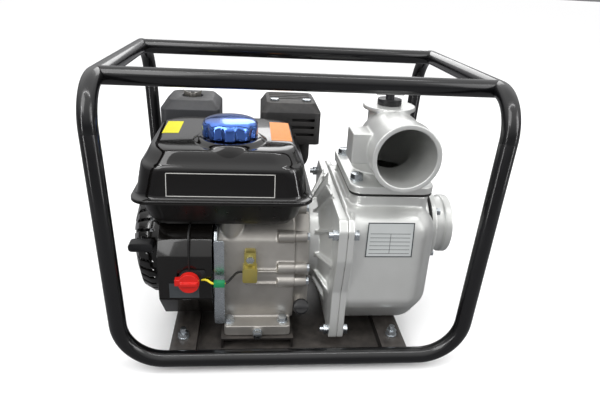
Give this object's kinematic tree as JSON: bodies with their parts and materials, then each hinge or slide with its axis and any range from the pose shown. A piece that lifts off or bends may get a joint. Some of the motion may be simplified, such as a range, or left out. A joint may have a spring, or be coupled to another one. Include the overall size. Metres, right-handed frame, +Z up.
{
  "type": "engine-driven trash pump",
  "caption": "Petrol engine close-coupled to a self-priming centrifugal trash pump in a welded tube frame, with threaded suction and discharge ports.",
  "frame": {"origin": "on the ground, under the middle of the frame", "axes": "+X from the recoil starter to the suction port, +Y from the discharge port to the cylinder head, +Z up"},
  "size_m": [0.506, 0.398, 0.394],
  "materials": {
    "frame_paint": "gloss black enamel",
    "pan_paint": "satin black enamel",
    "rubber": "moulded rubber",
    "zinc": "bright zinc plate",
    "engine_casting": "die-cast, dull",
    "pump_casting": "cast, silver sprayed",
    "steel": "machined",
    "iron": "cast",
    "shroud_paint": "gloss black enamel",
    "tank_paint": "deep gloss black",
    "cap_blue": "metallic blue",
    "black_plastic": "moulded",
    "red_plastic": "moulded",
    "air_plastic": "moulded, fine texture",
    "foam": "open foam",
    "muffler_paint": "heat-proof satin",
    "unit_plating": "yellow chromate",
    "nut_plastic": "moulded",
    "lead_pvc": "vinyl"
  },
  "bodies": {
    "machine": {"frame_hoop_front": "frame_paint", "frame_hoop_rear": "frame_paint", "frame_top_left": "frame_paint", "frame_top_right": "frame_paint", "frame_bar_front": "frame_paint", "frame_bar_rear": "frame_paint", "base_pan": "pan_paint", "rubber_feet": "rubber", "feet_bolts": "zinc", "engine_riser": "pan_paint", "crankcase": "engine_casting", "side_cover": "engine_casting", "crank_bearings": "steel", "cylinder_head": "engine_casting", "valve_cover": "shroud_paint", "spark_plug": "zinc", "plug_cap": "black_plastic", "fan_cover": "shroud_paint", "recoil_housing": "shroud_paint", "switch_base": "black_plastic", "oil_alert_unit": "unit_plating", "control_plate": "zinc", "carburettor": "engine_casting", "air_cleaner_base": "air_plastic", "filter_element": "foam", "air_cleaner_cover": "air_plastic", "throttle_post": "zinc", "fuel_tank_lower": "tank_paint", "fuel_tank_upper": "tank_paint", "muffler": "muffler_paint", "muffler_guard": "muffler_paint", "pump_cover": "pump_casting", "shaft_seal": "steel", "volute": "iron", "pump_case": "pump_casting", "elbow_gasket": "rubber", "discharge_elbow": "pump_casting", "suction_gasket": "rubber", "suction_flange": "pump_casting", "pump_bolts": "zinc", "engine_bolts": "zinc", "engine_leads": "lead_pvc"},
    "crank": {"crankshaft": "steel", "flywheel": "iron", "starter_cup": "steel", "impeller": "iron"},
    "reel": {"recoil_reel": "black_plastic"},
    "grip": {"starter_grip": "black_plastic"},
    "piston": {"piston": "engine_casting", "wrist_pin": "steel"},
    "rod": {"connecting_rod": "steel"},
    "cap": {"fuel_cap": "cap_blue"},
    "dip": {"dipstick": "black_plastic"},
    "switch": {"switch_knob": "red_plastic"},
    "choke": {"choke_lever": "black_plastic"},
    "fuel_valve": {"fuel_valve_lever": "black_plastic"},
    "throttle": {"throttle_lever": "black_plastic"},
    "air_nut": {"air_cleaner_nut": "nut_plastic"},
    "prime": {"priming_plug": "black_plastic"},
    "flap": {"check_valve": "rubber"}
  },
  "joints": [
    {"name": "crank_spin", "type": "hinge", "parent": "machine", "child": "crank", "pos_m": [0, -0.048, 0.136], "axis": [1, 0, 0], "continuous": true},
    {"name": "grip_pull", "type": "slide", "parent": "machine", "child": "grip", "axis": [0, -1, 0], "range_m": [0, 0.04], "stiffness_N_per_m": 300, "springref_m": -0.02},
    {"name": "reel_turn", "type": "hinge", "parent": "machine", "child": "reel", "pos_m": [-0.2, -0.048, 0.136], "axis": [1, 0, 0], "range_deg": [0, 90]},
    {"name": "piston_slide", "type": "slide", "parent": "machine", "child": "piston", "axis": [0, 0.9063, 0.4226], "range_m": [-0.054, 0]},
    {"name": "rod_swing", "type": "hinge", "parent": "piston", "child": "rod", "pos_m": [-0.053, 0.05351, 0.18333], "axis": [1, 0, 0], "range_deg": [-15, 15]},
    {"name": "cap_turn", "type": "hinge", "parent": "machine", "child": "cap", "pos_m": [-0.09, -0.092, 0.304], "axis": [0, 0, 1], "range_deg": [0, 90]},
    {"name": "dipstick_turn", "type": "hinge", "parent": "machine", "child": "dip", "pos_m": [0.01, -0.126, 0.058], "axis": [0, -0.8192, 0.5736], "range_deg": [0, 180]},
    {"name": "switch_turn", "type": "hinge", "parent": "machine", "child": "switch", "pos_m": [-0.141, -0.16, 0.126], "axis": [0, 1, 0], "range_deg": [0, 60]},
    {"name": "choke_turn", "type": "hinge", "parent": "machine", "child": "choke", "pos_m": [-0.14, 0.09067, 0.20066], "axis": [0, 0, 1], "range_deg": [-40, 0]},
    {"name": "fuel_valve_turn", "type": "hinge", "parent": "machine", "child": "fuel_valve", "pos_m": [-0.129, 0.09067, 0.19666], "axis": [0, 1, 0], "range_deg": [-90, 0]},
    {"name": "throttle_turn", "type": "hinge", "parent": "machine", "child": "throttle", "pos_m": [-0.122, 0.036, 0.195], "axis": [0, 0, 1], "range_deg": [-20, 0]},
    {"name": "air_nut_turn", "type": "hinge", "parent": "machine", "child": "air_nut", "pos_m": [-0.1595, 0.1135, 0.31], "axis": [0, 0, 1], "range_deg": [0, 180]},
    {"name": "prime_turn", "type": "hinge", "parent": "machine", "child": "prime", "pos_m": [0.1275, -0.054, 0.342], "axis": [0, 0, 1], "range_deg": [0, 180]},
    {"name": "flap_swing", "type": "hinge", "parent": "machine", "child": "flap", "pos_m": [0.1956, -0.048, 0.1915], "axis": [0, 1, 0], "range_deg": [0, 40]}
  ],
  "couplings": [
    {"joint": "reel_turn", "follows": "grip_pull", "rad_per_m": 37.037}
  ]
}
